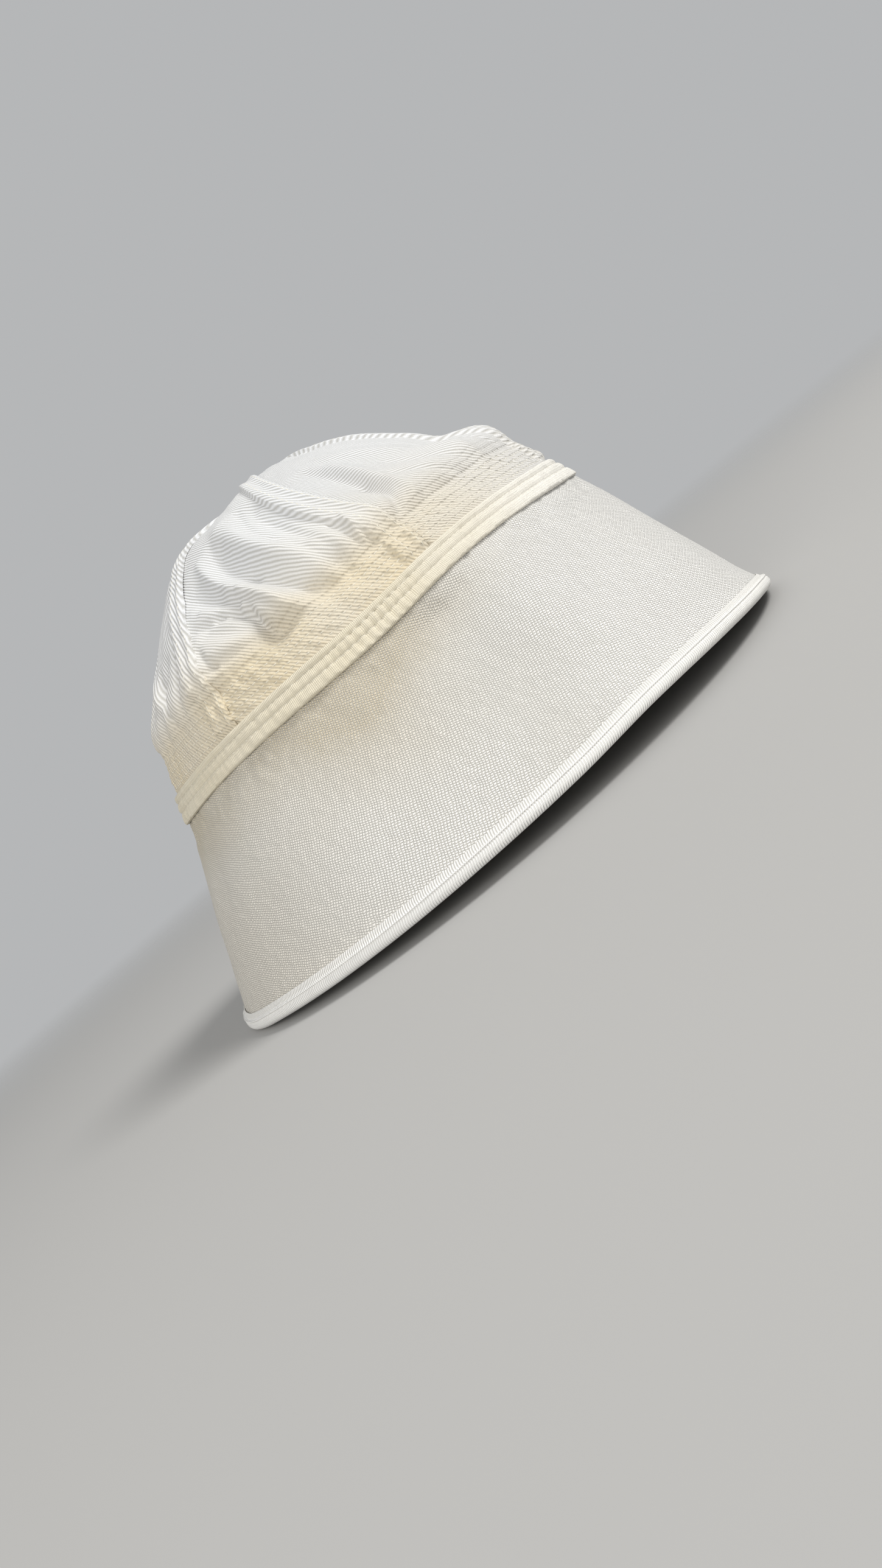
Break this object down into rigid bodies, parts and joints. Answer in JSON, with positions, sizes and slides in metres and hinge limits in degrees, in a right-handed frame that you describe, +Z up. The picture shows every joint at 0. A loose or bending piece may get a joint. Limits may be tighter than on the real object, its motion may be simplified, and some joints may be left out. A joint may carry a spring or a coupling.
{
  "type": "sailor cap",
  "caption": "White cotton sailor cap with a gored round crown, a stitched cream tape and a tall stiff flared brim turned down to a bound, rolled edge.",
  "frame": {"origin": "on the floor under the middle of the cap, which stands on its brim's edge", "axes": "+X towards the front of the cap, +Y towards the wearer's left, +Z up"},
  "size_m": [0.2701, 0.2338, 0.1579],
  "materials": {
    "crown_twill": "washed white cotton twill with fine diagonal ribs, creamier towards the foot",
    "seam_tape": "cream cotton tape in three stitched ridges",
    "brim_crepe": "stiff off-white cotton with a pebbled weave",
    "rim_binding": "white ribbed cotton binding, rolled"
  },
  "bodies": {
    "root": {"crown_gore_1": "crown_twill", "crown_gore_2": "crown_twill", "crown_gore_3": "crown_twill", "crown_gore_4": "crown_twill", "crown_gore_5": "crown_twill", "crown_gore_6": "crown_twill", "seam_tape": "seam_tape", "brim": "brim_crepe", "rim_binding": "rim_binding"}
  },
  "joints": []
}
